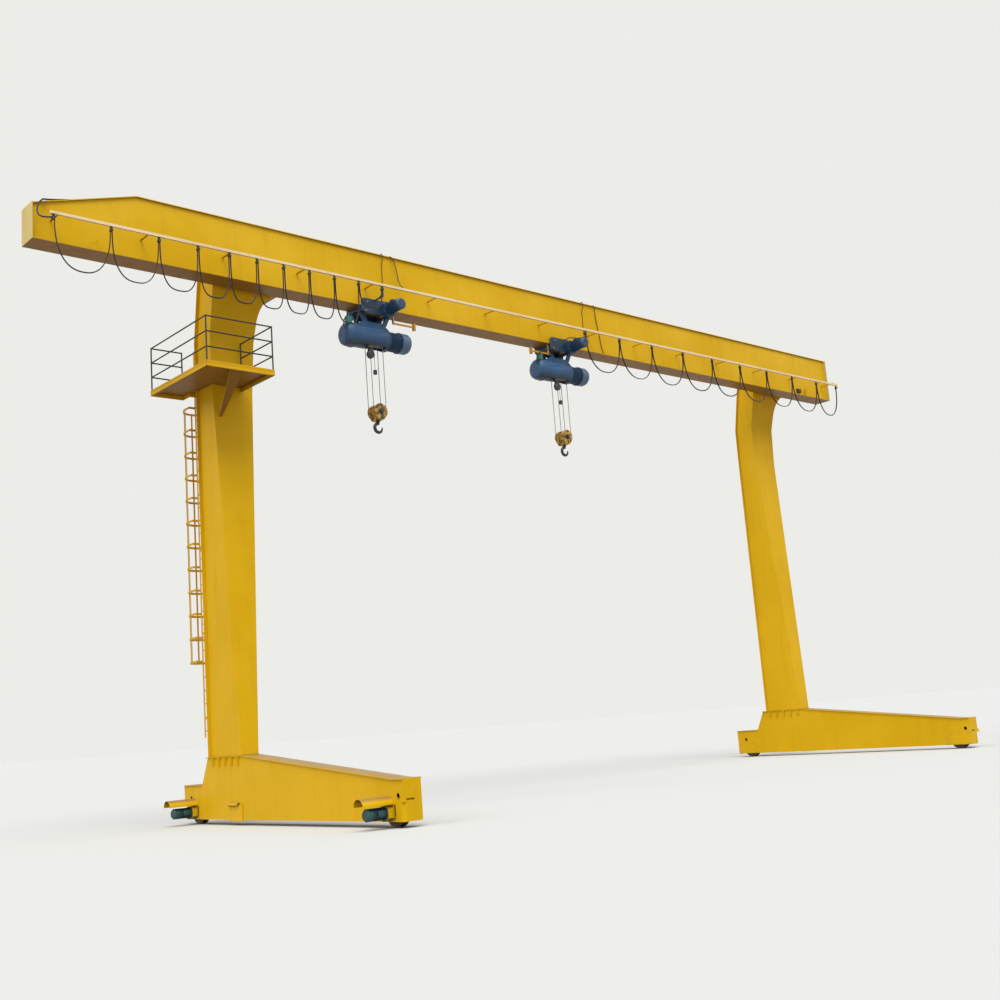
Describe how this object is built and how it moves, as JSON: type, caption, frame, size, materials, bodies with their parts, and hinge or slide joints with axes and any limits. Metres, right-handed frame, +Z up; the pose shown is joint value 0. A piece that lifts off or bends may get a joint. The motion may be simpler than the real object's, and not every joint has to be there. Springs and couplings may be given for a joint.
{
  "type": "gantry crane",
  "caption": "Yellow rail-mounted gantry crane with a box girder on leaning box legs, wheeled ground beams, a caged ladder and platform, and underslung blue rope hoists with hooks.",
  "frame": {"origin": "middle of the bounding box, on the floor that the wheels stand on", "axes": "+X along the girder from the leg with the platform to the other leg, +Y along the ground beams from the long low end to the columns, +Z up"},
  "size_m": [28.3, 8.4, 13.633],
  "materials": {
    "girder_paint": "satin",
    "leg_paint": "satin",
    "platform_paint": "satin",
    "railing_paint": "satin",
    "axle_box_steel": "rough",
    "wheel_steel": "worn tread",
    "drive_paint": "satin",
    "rail_paint": "satin",
    "cable_rubber": "matt",
    "trolley_paint": "satin",
    "trolley_wheel_steel": "worn",
    "hoist_motor_paint": "satin",
    "hoist_paint": "satin",
    "dark_steel": "matt",
    "rope_steel": "greased",
    "block_paint": "worn",
    "hook_steel": "forged"
  },
  "bodies": {
    "gantry": {"girder_bottom_flange": "girder_paint", "girder_top_flange": "girder_paint", "girder_front_web": "girder_paint", "girder_rear_web": "girder_paint", "girder_end_plates": "girder_paint", "trolley_end_stops": "girder_paint", "near_column": "leg_paint", "far_column": "leg_paint", "column_feet": "leg_paint", "near_ground_beam": "leg_paint", "far_ground_beam": "leg_paint", "near_beam_top_plate": "leg_paint", "far_beam_top_plate": "leg_paint", "axle_boxes": "axle_box_steel", "wheel_covers": "leg_paint", "travel_gearboxes": "leg_paint", "travel_motors": "drive_paint", "motor_hoods": "leg_paint", "jacking_brackets": "leg_paint", "platform_floor": "platform_paint", "railing_left": "railing_paint", "railing_front": "railing_paint", "railing_right": "railing_paint", "railing_rear": "railing_paint", "ladder": "platform_paint", "ladder_cage": "platform_paint", "cage_straps": "platform_paint", "festoon_rail": "rail_paint", "festoon_brackets": "girder_paint", "festoon_near": "cable_rubber", "festoon_far": "cable_rubber", "feed_cables": "cable_rubber"},
    "near_front_wheel": {"near_front_wheel": "wheel_steel"},
    "near_rear_wheel": {"near_rear_wheel": "wheel_steel"},
    "far_front_wheel": {"far_front_wheel": "wheel_steel"},
    "far_rear_wheel": {"far_rear_wheel": "wheel_steel"},
    "hoist_1": {"trolley_frame_1": "trolley_paint", "trolley_wheels_1": "trolley_wheel_steel", "travel_drive_1": "hoist_motor_paint", "drum_housing_1": "hoist_paint", "lift_gearbox_1": "hoist_paint", "lift_motor_1": "hoist_motor_paint", "rope_guide_1": "dark_steel", "limit_weight_1": "dark_steel", "ropes_1": "rope_steel"},
    "hook_block_1": {"hook_block_1": "block_paint"},
    "hook_1": {"hook_1": "hook_steel"},
    "hoist_2": {"trolley_frame_2": "trolley_paint", "trolley_wheels_2": "trolley_wheel_steel", "travel_drive_2": "hoist_motor_paint", "drum_housing_2": "hoist_paint", "lift_gearbox_2": "hoist_paint", "lift_motor_2": "hoist_motor_paint", "rope_guide_2": "dark_steel", "limit_weight_2": "dark_steel", "ropes_2": "rope_steel"},
    "hook_block_2": {"hook_block_2": "block_paint"},
    "hook_2": {"hook_2": "hook_steel"}
  },
  "joints": [
    {"name": "near_front_wheel_spin", "type": "hinge", "parent": "gantry", "child": "near_front_wheel", "pos_m": [-9.39, -3.75, 0.275], "axis": [1, 0, 0], "continuous": true},
    {"name": "near_rear_wheel_spin", "type": "hinge", "parent": "gantry", "child": "near_rear_wheel", "pos_m": [-9.39, 3.75, 0.275], "axis": [1, 0, 0], "continuous": true},
    {"name": "far_front_wheel_spin", "type": "hinge", "parent": "gantry", "child": "far_front_wheel", "pos_m": [11.01, -3.75, 0.275], "axis": [1, 0, 0], "continuous": true},
    {"name": "far_rear_wheel_spin", "type": "hinge", "parent": "gantry", "child": "far_rear_wheel", "pos_m": [11.01, 3.75, 0.275], "axis": [1, 0, 0], "continuous": true},
    {"name": "hoist_1_travel", "type": "slide", "parent": "gantry", "child": "hoist_1", "axis": [1, 0, 0], "range_m": [-2.8, 3.9], "deforming": ["festoon_near"]},
    {"name": "hook_1_lift", "type": "slide", "parent": "hoist_1", "child": "hook_block_1", "axis": [0, 0, 1], "range_m": [-8.4, 0.65], "deforming": ["ropes_1"]},
    {"name": "hook_1_swivel", "type": "hinge", "parent": "hook_block_1", "child": "hook_1", "pos_m": [-5.54, 1.39, 9.095], "axis": [0, 0, 1], "continuous": true},
    {"name": "hoist_2_travel", "type": "slide", "parent": "gantry", "child": "hoist_2", "axis": [1, 0, 0], "range_m": [-3.9, 10.6], "deforming": ["festoon_far"]},
    {"name": "hook_2_lift", "type": "slide", "parent": "hoist_2", "child": "hook_block_2", "axis": [0, 0, 1], "range_m": [-8.4, 0.65], "deforming": ["ropes_2"]},
    {"name": "hook_2_swivel", "type": "hinge", "parent": "hook_block_2", "child": "hook_2", "pos_m": [0.89, 1.39, 9.095], "axis": [0, 0, 1], "continuous": true}
  ]
}
